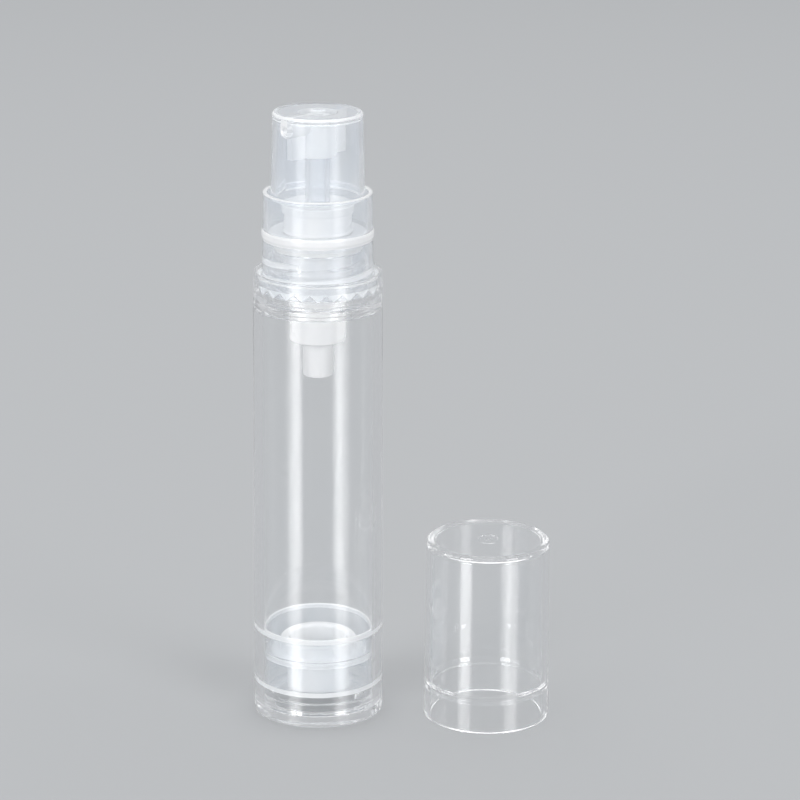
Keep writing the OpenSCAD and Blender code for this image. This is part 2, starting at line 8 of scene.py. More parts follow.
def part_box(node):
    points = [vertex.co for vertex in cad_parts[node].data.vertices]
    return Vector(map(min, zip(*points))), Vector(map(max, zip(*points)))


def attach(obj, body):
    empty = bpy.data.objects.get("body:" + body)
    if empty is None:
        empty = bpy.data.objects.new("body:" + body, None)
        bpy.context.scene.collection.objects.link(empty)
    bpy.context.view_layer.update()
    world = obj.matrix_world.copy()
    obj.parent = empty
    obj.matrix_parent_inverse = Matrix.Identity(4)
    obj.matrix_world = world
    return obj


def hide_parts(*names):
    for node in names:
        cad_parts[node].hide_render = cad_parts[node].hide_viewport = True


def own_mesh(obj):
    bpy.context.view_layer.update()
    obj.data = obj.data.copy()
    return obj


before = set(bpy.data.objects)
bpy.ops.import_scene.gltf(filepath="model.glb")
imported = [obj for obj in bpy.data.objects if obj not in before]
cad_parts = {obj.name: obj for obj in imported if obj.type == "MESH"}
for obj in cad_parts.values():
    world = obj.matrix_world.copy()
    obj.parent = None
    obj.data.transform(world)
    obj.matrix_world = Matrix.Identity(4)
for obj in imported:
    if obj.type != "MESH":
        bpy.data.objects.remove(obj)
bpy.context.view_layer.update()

scene = bpy.context.scene

# The viewpoint is the photograph's: a long lens half a metre away that looks down by about 17
# degrees, with the bottle left of the middle, the cap right of it, and a very slight roll.
look_height = 0.050
camera_distance = 0.49905
camera_rise = radians(16.555)
camera_pitch = radians(16.567)
camera_yaw = radians(1.4985)
camera_roll = radians(0.357)
image_width = 800
focal_pixels = 3271.5
sensor_width = 36

camera = bpy.data.objects.new("camera", bpy.data.cameras.new("camera"))
camera.data.sensor_width = sensor_width
camera.data.lens = focal_pixels / image_width * sensor_width
camera.data.clip_start = 0.01
ahead = Vector((sin(camera_yaw) * cos(camera_pitch), cos(camera_yaw) * cos(camera_pitch),
                -sin(camera_pitch)))
across = Vector((cos(camera_yaw), -sin(camera_yaw), 0))
upright = across.cross(ahead)
right = across * cos(camera_roll) + upright * sin(camera_roll)
above = upright * cos(camera_roll) - across * sin(camera_roll)
camera.matrix_world = Matrix((right, above, -ahead)).transposed().to_4x4()
camera.location = (0, -camera_distance * cos(camera_rise),
                   look_height + camera_distance * sin(camera_rise))
scene.collection.objects.link(camera)
scene.camera = camera
scene.view_settings.view_transform = "Standard"

# The studio is a pale floor under soft light. Two upright boxes in front show as soft bands down
# the clear walls, and a wide one overhead fills the rest, unseen in reflections. A path of light
# that is cut short in clear plastic shows as a black edge, so every bounce limit is high.
bounces = 80
scene.cycles.max_bounces = bounces
scene.cycles.glossy_bounces = bounces
scene.cycles.transmission_bounces = bounces
scene.cycles.transparent_max_bounces = bounces

sky_colour = (0.95, 0.97, 1.0, 1)
sky_light, sky_seen = 0.32, 0.55
world = bpy.data.worlds.new("studio")
world.use_nodes = True
scene.world = world
sky_nodes, sky_link = world.node_tree.nodes, world.node_tree.links.new
sky = sky_nodes["Background"]
sky.inputs["Color"].default_value = sky_colour
sky_ray, either, any_of, strength = (sky_nodes.new("ShaderNode" + kind) for kind in (
    "LightPath", "Math", "Math", "MapRange"))
either.operation = any_of.operation = "MAXIMUM"
strength.inputs["To Min"].default_value = sky_light
strength.inputs["To Max"].default_value = sky_seen
sky_link(sky_ray.outputs["Is Camera Ray"], either.inputs[0])
sky_link(sky_ray.outputs["Is Glossy Ray"], either.inputs[1])
sky_link(either.outputs[0], any_of.inputs[0])
sky_link(sky_ray.outputs["Is Transmission Ray"], any_of.inputs[1])
sky_link(any_of.outputs[0], strength.inputs["Value"])
sky_link(strength.outputs[0], sky.inputs["Strength"])


def light_box(name, place, aim, width, height, watts):
    """A rectangular softbox that faces a point."""
    lamp = bpy.data.lights.new(name, "AREA")
    lamp.shape = "RECTANGLE"
    lamp.size, lamp.size_y, lamp.energy = width, height, watts
    box = bpy.data.objects.new(name, lamp)
    box.location = place
    box.rotation_mode = "QUATERNION"
    box.rotation_quaternion = (Vector(aim) - Vector(place)).to_track_quat("-Z", "Y")
    scene.collection.objects.link(box)
    return box


middle = (0.008, 0, 0.045)
box_width, box_height = 0.78, 1.20
left_watts, right_watts, overhead_watts = 21.2, 18.0, 15
overhead_width, overhead_depth = 2.0, 1.3
light_box("box_left", (-1.38, -1.43, 0.64), middle, box_width, box_height, left_watts)
light_box("box_right", (1.43, -1.43, 0.64), middle, box_width, box_height, right_watts)
overhead = light_box("overhead", (0, 0.40, 1.4), (0, 0.35, 0), overhead_width, overhead_depth,
                     overhead_watts)
overhead.visible_glossy = False

# The floor is a flat pale sheet, matt to the camera. Only a ray that something glossy has mirrored
# meets a satin sheen on it, which passes the two boxes on, so that the bands run the full height
# of walls that the camera looks down on.
floor_size = 3.0
floor_drop = 0.00003
floor_colour = (0.50, 0.51, 0.52, 1)
sheen_colour = (0.95, 0.95, 0.95, 1)
sheen_share, sheen_roughness = 0.34, 0.26
corner = floor_size / 2
floor = bpy.data.objects.new("floor", bpy.data.meshes.new("floor"))
floor.data.from_pydata([(-corner, -corner, -floor_drop), (corner, -corner, -floor_drop),
                        (corner, corner, -floor_drop), (-corner, corner, -floor_drop)],
                       [], [(0, 1, 2, 3)])
scene.collection.objects.link(floor)
floor_material = bpy.data.materials.new("pale_sweep")
floor_material.use_nodes = True
floor_nodes, floor_link = floor_material.node_tree.nodes, floor_material.node_tree.links.new
paint = floor_nodes["Principled BSDF"]
paint.inputs["Base Color"].default_value = floor_colour
paint.inputs["Roughness"].default_value = 0.9
paint.inputs["Specular IOR Level"].default_value = 0.0
sheen, floor_ray, mirrored, share, either_face = (floor_nodes.new("ShaderNode" + kind) for kind in (
    "BsdfGlossy", "LightPath", "Math", "Math", "MixShader"))
sheen.inputs["Color"].default_value = sheen_colour
sheen.inputs["Roughness"].default_value = sheen_roughness
mirrored.operation, share.operation = "MINIMUM", "MULTIPLY"
mirrored.inputs[1].default_value = sheen_share
floor_link(floor_ray.outputs["Glossy Depth"], mirrored.inputs[0])
floor_link(mirrored.outputs[0], share.inputs[0])
floor_link(floor_ray.outputs["Is Glossy Ray"], share.inputs[1])
floor_link(share.outputs[0], either_face.inputs["Fac"])
floor_link(paint.outputs[0], either_face.inputs[1])
floor_link(sheen.outputs[0], either_face.inputs[2])
floor_link(either_face.outputs[0], floor_nodes["Material Output"].inputs["Surface"])
floor.data.materials.append(floor_material)

# The base plug is a disc of clear styrene with a short spigot that is pressed into the open end
# of the tube. Its rim is flush with the tube, and a small hole lets air in under the follower.
MM = 0.001
COLUMNS = 288
CRISP = radians(34)
body_foot_r = 9.99
body_bore_r = 8.46
plug_t = 2.0
spigot_r, spigot_top, spigot_wall = 8.44, 3.4, 1.0
vent_at, vent_r = 6.1, 0.6
joint_gap = 0.015


def outline(corners, closed=True):
    """Rounds a profile. A corner is (radius, height, fillet) in millimetres; each fillet is an arc
    that touches both sides, with one extra point just outside each end to hold the flats flat."""
    usual_fillet, guard, arc_step = 0.04, 0.06, radians(11)
    most_of_side, most_of_flat, nearly_straight = 0.45, 0.25, 1.53
    spots = np.array([c[:2] for c in corners], float)
    path = []
    for i, corner_here in enumerate(corners):
        fillet = corner_here[2] if len(corner_here) > 2 else usual_fillet
        here = spots[i]
        if fillet == 0 or (not closed and i in (0, len(corners) - 1)):
            path.append(here[None])
            continue
        back, on = spots[i - 1] - here, spots[(i + 1) % len(corners)] - here
        back_len, on_len = np.linalg.norm(back), np.linalg.norm(on)
        back, on = back / back_len, on / on_len
        half = np.arccos(np.clip(back @ on, -1, 1)) / 2
        if half > nearly_straight:
            path.append(here[None])
            continue
        reach = min(fillet / tan(half), most_of_side * back_len, most_of_side * on_len)
        hub = here + (back + on) / np.linalg.norm(back + on) * reach / cos(half)
        start, end = here + back * reach - hub, here + on * reach - hub
        first = atan2(start[1], start[0])
        sweep = (atan2(end[1], end[0]) - first + pi) % (2 * pi) - pi
        turn = first + sweep * np.linspace(0, 1, max(3, int(abs(sweep) / arc_step)) + 1)
        bend = hub + np.stack([np.cos(turn), np.sin(turn)], 1) * np.linalg.norm(start)
        back_room = min(guard, most_of_flat * (back_len - reach))
        on_room = min(guard, most_of_flat * (on_len - reach))
        path += [(here + back * (reach + back_room))[None], bend,
                 (here + on * (reach + on_room))[None]]
    return np.concatenate(path)


def solid(name, points, faces):
    """A mesh object from points in millimetres and faces that already point outwards. It shades
    smoothly, with crisp edges where two faces meet sharply."""
    points = np.asarray(points, float)
    mesh = bpy.data.meshes.new(name)
    mesh.from_pydata((points * MM).tolist(), [], faces)
    mesh.validate()
    mesh.shade_smooth()
    mesh.set_sharp_from_angle(angle=CRISP)
    thing = bpy.data.objects.new(name, mesh)
    scene.collection.objects.link(thing)
    return thing


def spin(name, profile, closed=True, shape=None, centre=(0, 0), columns=COLUMNS):
    """Carries a profile round the axis: point (r, z) at angle a lies at (r cos a, r sin a, z).
    shape may first change r and z over the grid. An open profile starts and ends on the axis, where
    a fan of triangles closes each pole. A profile that runs the other way has its faces flipped."""
    angle = np.linspace(0, 2 * pi, columns, endpoint=False)[None, :]
    r, z = (np.repeat(profile[:, k:k + 1], columns, 1) for k in (0, 1))
    if shape:
        r, z = shape(r, z, angle)
    grid = np.stack([centre[0] + r * np.cos(angle), centre[1] + r * np.sin(angle), z], -1)
    low, high = profile, np.roll(profile, -1, 0)
    if not closed:
        low, high = profile[:-1], profile[1:]
    flipped = np.sum((high[:, 1] - low[:, 1]) * (high[:, 0] + low[:, 0]) ** 2) < 0
    rows = np.arange(len(profile))
    pairs = np.stack([rows, np.roll(rows, -1)], 1)
    if not closed:
        pairs = np.stack([rows[1:-2], rows[2:-1]], 1)
    side = np.arange(columns)
    beside = np.roll(side, -1)
    a, b = pairs[:, :1] * columns, pairs[:, 1:] * columns
    quads = np.stack([a + side, a + beside, b + beside, b + side], -1).reshape(-1, 4)
    points = grid.reshape(-1, 3)
    faces = quads.tolist()
    if not closed:
        first, last = columns, (len(profile) - 2) * columns
        poles = np.stack([grid[0].mean(0), grid[-1].mean(0)])
        points = np.concatenate([points[columns:-columns], poles])
        tip, tail = len(points) - 2, len(points) - 1
        fans = [np.stack([np.full(columns, tip), beside, side], 1),
                np.stack([np.full(columns, tail), last - columns + side,
                          last - columns + beside], 1)]
        faces = (quads - first).tolist() + np.concatenate(fans).tolist()
    if flipped:
        faces = [f[::-1] for f in faces]
    return solid(name, points, faces)


def combine(target, others, operation):
    """Joins solids to the target, or cuts them from it, and bakes the result into its mesh."""
    for other in others:
        step = target.modifiers.new("step", "BOOLEAN")
        step.operation, step.object, step.solver = operation, other, "MANIFOLD"
        seen = target.evaluated_get(bpy.context.evaluated_depsgraph_get())
        made = bpy.data.meshes.new_from_object(seen)
        target.modifiers.clear()
        made.name = target.data.name
        target.data = made
        bpy.data.objects.remove(other)
    target.data.shade_smooth()
    target.data.set_sharp_from_angle(angle=CRISP)
    return target


def skin_group():
    """Shader group for a moulded face: long waves in the surface, hairline scratches, specks, and
    the cloudy patches where the melt flowed. Scales are waves to the metre."""
    wave_scale, smear_scale, cloud_scale = 90, 55, 240
    hair_scale, hair_patch_scale = 5200, 160
    speck_scale, speck_patch_scale = 520, 210
    scratch_depth, scratch_dull, speck_dull = 0.02, 0.15, 0.3
    group = bpy.data.node_groups.new("moulded_skin", "ShaderNodeTree")
    for name, kind, start in (("Position", "NodeSocketVector", None), ("Wave", "NodeSocketFloat", 0.3),
                              ("Scratch", "NodeSocketFloat", 0.3), ("Smooth", "NodeSocketFloat", 0.02),
                              ("Dull", "NodeSocketFloat", 0.08)):
        socket = group.interface.new_socket(name=name, in_out="INPUT", socket_type=kind)
        if start is not None:
            socket.default_value = start
    for name in ("Height", "Roughness", "Speck", "Cloud"):
        group.interface.new_socket(name=name, in_out="OUTPUT", socket_type="NodeSocketFloat")
    n, link = group.nodes, group.links.new
    come, go = n.new("NodeGroupInput"), n.new("NodeGroupOutput")

    def noise(scale, detail, stretch=(1, 1, 1)):
        place = n.new("ShaderNodeMapping")
        place.inputs["Scale"].default_value = stretch
        link(come.outputs["Position"], place.inputs["Vector"])
        pattern = n.new("ShaderNodeTexNoise")
        pattern.inputs["Scale"].default_value = scale
        pattern.inputs["Detail"].default_value = detail
        link(place.outputs["Vector"], pattern.inputs["Vector"])
        return pattern.outputs["Fac"]

    def sums(operation, a, b):
        node = n.new("ShaderNodeMath")
        node.operation = operation
        for slot, value in enumerate((a, b)):
            if isinstance(value, (int, float)):
                node.inputs[slot].default_value = value
            else:
                link(value, node.inputs[slot])
        return node.outputs[0]

    def between(value, low, high, to_low=0.0, to_high=1.0):
        node = n.new("ShaderNodeMapRange")
        link(value, node.inputs["Value"])
        node.inputs["From Min"].default_value = low
        node.inputs["From Max"].default_value = high
        for socket, number in (("To Min", to_low), ("To Max", to_high)):
            if isinstance(number, (int, float)):
                node.inputs[socket].default_value = number
            else:
                link(number, node.inputs[socket])
        return node.outputs["Result"]

    waves = sums("MULTIPLY", noise(wave_scale, 1.5, (1, 1, 0.35)), come.outputs["Wave"])
    hairs = between(noise(hair_scale, 2, (1, 1, 0.04)), 0.66, 0.74)
    patches = between(noise(hair_patch_scale, 3), 0.52, 0.72)
    scratches = sums("MULTIPLY", sums("MULTIPLY", hairs, patches), come.outputs["Scratch"])
    cells = n.new("ShaderNodeTexVoronoi")
    cells.inputs["Scale"].default_value = speck_scale
    link(come.outputs["Position"], cells.inputs["Vector"])
    specks = sums("MULTIPLY", between(cells.outputs["Distance"], 0.07, 0.02),
                  between(noise(speck_patch_scale, 1), 0.60, 0.66))
    smears = between(noise(smear_scale, 4), 0.45, 0.75, come.outputs["Smooth"], come.outputs["Dull"])
    rubbed = sums("ADD", smears, sums("MULTIPLY", scratches, scratch_dull))
    link(sums("SUBTRACT", waves, sums("MULTIPLY", scratches, scratch_depth)), go.inputs["Height"])
    link(sums("ADD", rubbed, sums("MULTIPLY", specks, speck_dull)), go.inputs["Roughness"])
    link(specks, go.inputs["Speck"])
    link(between(noise(cloud_scale, 3, (1, 1, 0.45)), 0.38, 0.66), go.inputs["Cloud"])
    return group


moulded_skin = skin_group()


def moulded(name, colour, cloud_colour, speck_colour, wave, scratch, smooth, dull, relief, lets_by=0,
            **sockets):
    """A plastic whose roughness, relief, clouds and specks come from the moulded skin group. lets_by
    is the share of lamp light that passes straight through a face. In a mostly clear plastic the
    light that dull surfaces gather passes straight through too, or it would be counted twice."""
    material = bpy.data.materials.new(name)
    material.use_nodes = True
    n, link = material.node_tree.nodes, material.node_tree.links.new
    shader = n["Principled BSDF"]
    for socket, value in sockets.items():
        shader.inputs[socket.replace("_", " ")].default_value = value
    place = n.new("ShaderNodeTexCoord")
    skin = n.new("ShaderNodeGroup")
    skin.node_tree = moulded_skin
    for socket, value in (("Wave", wave), ("Scratch", scratch), ("Smooth", smooth), ("Dull", dull)):
        skin.inputs[socket].default_value = value
    link(place.outputs["Object"], skin.inputs["Position"])
    flow, tint = n.new("ShaderNodeMix"), n.new("ShaderNodeMix")
    flow.data_type = tint.data_type = "RGBA"
    flow.inputs["A"].default_value = (*colour, 1)
    flow.inputs["B"].default_value = (*cloud_colour, 1)
    tint.inputs["B"].default_value = (*speck_colour, 1)
    link(skin.outputs["Cloud"], flow.inputs["Factor"])
    link(flow.outputs["Result"], tint.inputs["A"])
    link(skin.outputs["Speck"], tint.inputs["Factor"])
    link(tint.outputs["Result"], shader.inputs["Base Color"])
    link(skin.outputs["Roughness"], shader.inputs["Roughness"])
    bump = n.new("ShaderNodeBump")
    bump.inputs["Strength"].default_value = 1
    bump.inputs["Distance"].default_value = relief * MM
    link(skin.outputs["Height"], bump.inputs["Height"])
    link(bump.outputs["Normal"], shader.inputs["Normal"])
    if lets_by:
        mostly_clear = sockets["Transmission_Weight"] > 0.5
        path, straight, gap, choice = (n.new("ShaderNode" + kind) for kind in (
            "LightPath", "Math", "BsdfTransparent", "MixShader"))
        straight.operation = "MAXIMUM"
        straight.inputs[1].default_value = 0
        gap.inputs["Color"].default_value = (lets_by, lets_by, lets_by, 1)
        link(path.outputs["Is Shadow Ray"], straight.inputs[0])
        if mostly_clear:
            link(path.outputs["Is Diffuse Ray"], straight.inputs[1])
        link(straight.outputs[0], choice.inputs["Fac"])
        link(shader.outputs["BSDF"], choice.inputs[1])
        link(gap.outputs["BSDF"], choice.inputs[2])
        link(choice.outputs["Shader"], n["Material Output"].inputs["Surface"])
    return material


def fit(piece, material, body, node, slot, *zones):
    """Dresses a piece, and lets it stand for a node on its body. A zone is a material and a test of
    radius, angle and height: faces whose middle passes it take that material instead."""
    faces = piece.data.polygons
    middles = np.empty(3 * len(faces))
    faces.foreach_get("center", middles)
    x, y, z = middles.reshape(-1, 3).T / MM
    choice = np.zeros(len(faces), np.int32)
    piece.data.materials.clear()
    piece.data.materials.append(material)
    for place, (zone_material, test) in enumerate(zones, 1):
        piece.data.materials.append(zone_material)
        choice[test(np.hypot(x, y), np.arctan2(y, x), z)] = place
    faces.foreach_set("material_index", choice)
    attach(piece, body)
    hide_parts(node)
    return piece


clear_styrene = moulded(
    "clear_styrene", colour=(0.994, 0.997, 1.0), cloud_colour=(0.986, 0.991, 0.996),
    speck_colour=(0.9, 0.9, 0.9), wave=1.0, scratch=1.0, smooth=0.012, dull=0.035, relief=0.02,
    lets_by=0.98, Transmission_Weight=1.0, IOR=1.57)

plug = spin("base_plug_clear", outline([
    (0, 0), (body_foot_r, 0, 0.4), (body_foot_r, plug_t - joint_gap, 0.12),
    (spigot_r, plug_t - joint_gap, 0.02), (spigot_r, spigot_top, 0.12),
    (spigot_r - spigot_wall, spigot_top, 0.12), (spigot_r - spigot_wall - 0.15, plug_t, 0.2),
    (0, plug_t)], closed=False), closed=False)
vent = spin("vent", outline([
    (0, -1), (vent_r, -1, 0), (vent_r, plug_t + 1, 0), (0, plug_t + 1)], closed=False),
    closed=False, centre=(vent_at, 0), columns=48)
combine(plug, [vent], "DIFFERENCE")
fit(plug, clear_styrene, "bottle", "base_plug", "clear_plastic")

# The bottle body is one thick moulding of clear styrene: a tube with a slight draft, the shoulder
# that closes it, and the neck whose right-hand thread is moulded on.
shoulder_z, shoulder_r = 66.3, 9.81
chamber_top = 64.7
neck_r, neck_bore_r, neck_top = 6.92, 5.3, 73.8
pitch, thread_turns = 2.5, 1.4
ridge_foot, ridge_crest, ridge_h = 1.1, 0.45, 0.6
ridge_bevel, ridge_root, ridge_fade_turns = 0.1, 0.15, 0.125
male_start = shoulder_z + 3.3


def thread(name, wall_r, crest_r, start, lead):
    """One ridge on a helix. A six-cornered section is carried round the axis and climbs one pitch
    a turn: z = start + pitch * turns. Its foot is buried in the wall, and its crest sinks into the
    wall at both ends."""
    turns = lead + np.linspace(0, thread_turns, int(thread_turns * COLUMNS) + 1)[:, None]
    outward = np.sign(crest_r - wall_r)
    to_end = np.minimum(turns - lead, lead + thread_turns - turns)
    fade = np.clip(to_end / ridge_fade_turns, 0.05, 1)
    tip = wall_r + (crest_r - wall_r) * fade
    foot = np.full_like(tip, wall_r - ridge_root * outward)
    bevel = ridge_bevel * outward * fade
    r = np.concatenate([foot, tip - bevel, tip, tip, tip - bevel, foot], 1)
    half = np.array([-ridge_foot, -ridge_crest - ridge_bevel, -ridge_crest + ridge_bevel,
                     ridge_crest - ridge_bevel, ridge_crest + ridge_bevel, ridge_foot]) / 2
    points = np.stack([r * np.cos(2 * pi * turns), r * np.sin(2 * pi * turns),
                       start + pitch * turns + half], -1)
    step, side = np.arange(len(turns) - 1)[:, None] * 6, np.arange(6)
    beside = np.roll(side, -1)
    quads = np.stack([step + side, step + beside, step + 6 + beside, step + 6 + side], -1)
    last = (len(turns) - 1) * 6
    faces = quads.reshape(-1, 4).tolist() + [side.tolist()[::-1], (last + side).tolist()]
    if outward > 0:
        faces = [f[::-1] for f in faces]
    return solid(name, points.reshape(-1, 3), faces)


tube = spin("bottle_body_clear", outline([
    (body_bore_r, plug_t, 0.1), (body_foot_r, plug_t, 0.12), (shoulder_r, shoulder_z, 0.35),
    (neck_r, shoulder_z, 0.15), (neck_r, neck_top, 0.15), (neck_bore_r, neck_top, 0.1),
    (neck_bore_r, chamber_top, 0.1), (body_bore_r, chamber_top, 0.3)]))
combine(tube, [thread("male_ridge", neck_r, neck_r + ridge_h, male_start, 0)], "UNION")
fit(tube, clear_styrene, "bottle", "bottle_body", "clear_plastic")

# The follower is soft polyethylene. It wipes the bore with a thin lip at each end, and its well
# takes in the pump's tail when the bottle is empty. Its thick places look milky.
soft_polyethylene = moulded(
    "soft_polyethylene", colour=(0.95, 0.965, 0.985), cloud_colour=(0.90, 0.93, 0.96),
    speck_colour=(0.9, 0.9, 0.9), wave=0.6, scratch=0.3, smooth=0.12, dull=0.20, relief=0.03,
    lets_by=0.94, Transmission_Weight=0.82, IOR=1.50)
milky_polyethylene = moulded(
    "milky_polyethylene", colour=(0.97, 0.98, 0.99), cloud_colour=(0.93, 0.95, 0.97),
    speck_colour=(0.9, 0.9, 0.9), wave=0.6, scratch=0.3, smooth=0.18, dull=0.28, relief=0.03,
    lets_by=0.50, Transmission_Weight=0.14, IOR=1.50)
well_r, well_z, well_wall = 4.42, 3.9, 0.4
lip_r, lip_low, lip_high = body_bore_r + 0.004, 4.65, 14.1
lip_band, lip_reach = 0.8, 0.03
waist_r, skirt_wall = 8.19, 0.55
web_low, web_high = 9.2, 10.0
hub_r, hub_top, hub_t = 6.0, 12.0, 0.8
follower = spin("follower_frosted", outline([
    (0, well_z), (well_r + well_wall, well_z, 0.4), (well_r + well_wall, hub_top - hub_t, 0.15),
    (hub_r - skirt_wall, hub_top - hub_t, 0.15), (hub_r - skirt_wall, web_low, 0.2),
    (waist_r - skirt_wall, web_low, 0.25), (lip_r - 0.4, lip_low, 0.1), (lip_r, lip_low, 0.1),
    (lip_r, lip_low + lip_band, 0.05), (lip_r - lip_reach, lip_low + lip_band + 0.2, 0.1),
    (waist_r, (lip_low + lip_high) / 2, 6), (lip_r - lip_reach, lip_high - lip_band - 0.2, 0.1),
    (lip_r, lip_high - lip_band, 0.05), (lip_r, lip_high, 0.12), (lip_r - 0.35, lip_high, 0.1),
    (waist_r - skirt_wall, web_high, 0.4), (hub_r, web_high, 0.2), (hub_r, hub_top, 0.5),
    (well_r, hub_top, 0.5), (well_r, well_z + well_wall, 0.4), (0, well_z + well_wall)],
    closed=False), closed=False)


def follower_thick(r, angle, z):
    """The lips, the web, the hub and the well, which are thicker than the skirt and look whiter."""
    lips = (r > lip_r - 0.5) & ((z < lip_low + lip_band) | (z > lip_high - lip_band))
    web = (z > web_low - 0.1) & (z < web_high + 0.1) & (r < waist_r - 0.4)
    hub = (z > web_low - 0.1) & (r < hub_r + 0.1)
    return lips | web | hub | (r < well_r + 0.6)


fit(follower, soft_polyethylene, "follower", "follower_piston", "soft_white_plastic",
    (milky_polyethylene, follower_thick))

# The gasket is a ring punched from white closed-cell foam. It lies on the neck, and the collar
# presses the pump's flange down on it.
foam = moulded(
    "closed_cell_foam", colour=(0.86, 0.86, 0.84), cloud_colour=(0.80, 0.80, 0.78),
    speck_colour=(0.6, 0.6, 0.6), wave=0.4, scratch=0.0, smooth=0.75, dull=0.9, relief=0.2)
gasket_r, gasket_bore_r = 6.65, 5.25
gasket_low, gasket_high = 73.85, 74.44
gasket = spin("gasket_foam", outline([
    (gasket_bore_r, gasket_low), (gasket_r, gasket_low), (gasket_r, gasket_high),
    (gasket_bore_r, gasket_high)]), columns=144)
fit(gasket, foam, "pump", "neck_gasket", "foam_seal")

# The pump housing is moulded in white polypropylene: flange and turret above, barrel below, and
# the tail that cages the inlet ball. It hangs in the neck by its flange.
white_polypropylene = moulded(
    "white_polypropylene", colour=(0.94, 0.945, 0.95), cloud_colour=(0.91, 0.915, 0.93),
    speck_colour=(0.8, 0.8, 0.8), wave=0.8, scratch=0.3, smooth=0.24, dull=0.34, relief=0.02,
    Subsurface_Weight=0.35, Subsurface_Radius=(1, 1, 1), Subsurface_Scale=0.0004, IOR=1.49)
housing_flange_r, flange_low, flange_high = 6.65, 74.45, 75.35
barrel_r, barrel_plug_r, barrel_low = 4.25, 5.2, 59.65
tail_r, tail_low = 2.3, 54.05
chamber_r, chamber_low = 3.4, 60.85
turret_r, turret_top = 5.1, 79.45
turret_bore_r, turret_floor = 4.35, 76.35
snap_rise, snap_low, snap_high = 0.25, 76.4, 76.9
cage_mouth_r, cage_r, cage_low = 1.2, 1.7, 60.0
inlet_r, seat_low, seat_h = 0.8, 56.15, 1.4
housing = spin("pump_housing_white", outline([
    (inlet_r, tail_low, 0.1), (tail_r, tail_low, 0.3), (tail_r + 0.05, barrel_low, 0.15),
    (barrel_r + 0.05, barrel_low, 0.3), (barrel_r, barrel_low + 2, 0), (barrel_r, flange_low - 5, 0.3),
    (barrel_plug_r, flange_low - 4, 0.3), (barrel_plug_r, flange_low, 0.1),
    (housing_flange_r, flange_low, 0.1), (housing_flange_r, flange_high, 0.1),
    (turret_r, flange_high, 0.1), (turret_r, snap_low, 0.05),
    (turret_r + snap_rise, snap_low + 0.1, 0.1), (turret_r + snap_rise, snap_high - 0.3, 0.1),
    (turret_r, snap_high, 0.1), (turret_r, turret_top, 0.1), (turret_bore_r, turret_top, 0.1),
    (turret_bore_r, turret_floor, 0.05), (chamber_r, turret_floor, 0.1),
    (chamber_r, chamber_low, 0.2), (cage_mouth_r, chamber_low, 0.05), (cage_mouth_r, cage_low, 0.05),
    (cage_r, cage_low, 0.05), (cage_r, seat_low + seat_h, 0.1), (inlet_r, seat_low, 0.1)]))
fit(housing, white_polypropylene, "pump", "pump_housing", "white_plastic")

# The inlet valve is a polished steel ball. It lies loose on the cone in the tail, and it lifts
# when the pump draws.
steel = moulded(
    "polished_steel", colour=(0.62, 0.63, 0.65), cloud_colour=(0.56, 0.57, 0.59),
    speck_colour=(0.4, 0.4, 0.4), wave=0.1, scratch=1.0, smooth=0.14, dull=0.30, relief=0.01,
    Metallic=1.0)
ball_low, ball_high = (point.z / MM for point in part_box("inlet_ball"))
ball_r = (ball_high - ball_low) / 2
ball_arc = np.linspace(-pi / 2, pi / 2, 33)
ball_profile = np.stack([ball_r * np.cos(ball_arc), ball_low + ball_r + ball_r * np.sin(ball_arc)], 1)
ball = spin("inlet_ball_steel", ball_profile, closed=False, columns=64)
fit(ball, steel, "ball", "inlet_ball", "steel")

# The return spring is stainless wire wound in six turns, drawn at the length of its part in model.glb.
# In the pump it closes up towards the floor of the chamber as the head is pressed.
spring_r, wire_r, spring_turns = 2.5, 0.225, 6
spring_low, spring_high = (point.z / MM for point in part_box("return_spring"))


def coil(name, radius, wire, turns, low, high, rings=48, sides=12):
    """A wire on a helix: the centre line climbs evenly, and a circle square to it is swept along."""
    run = np.linspace(0, turns, turns * rings + 1)[:, None]
    around = np.linspace(0, 2 * pi, sides, endpoint=False)[None, :]
    angle, slope = 2 * pi * run, (high - low) / turns / (2 * pi * radius)
    out, lift = wire * np.cos(around), wire * np.sin(around)
    lean = slope / np.hypot(1, slope)
    x = (radius + out) * np.cos(angle) + lift * lean * np.sin(angle)
    y = (radius + out) * np.sin(angle) - lift * lean * np.cos(angle)
    z = low + (high - low) * run / turns + lift * np.sqrt(1 - lean ** 2)
    points = np.stack([x, y, z], -1).reshape(-1, 3)
    ring, side = np.arange(turns * rings)[:, None] * sides, np.arange(sides)
    beside = np.roll(side, -1)
    faces = np.stack([ring + side, ring + beside, ring + sides + beside, ring + sides + side], -1)
    last = turns * rings * sides
    caps = [side[::-1].tolist(), (last + side).tolist()]
    return solid(name, points, faces.reshape(-1, 4).tolist() + caps)


spring = coil("return_spring_steel", spring_r, wire_r, spring_turns, spring_low + wire_r,
              spring_high - wire_r)
fit(spring, steel, "pump", "return_spring", "steel")
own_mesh(spring)

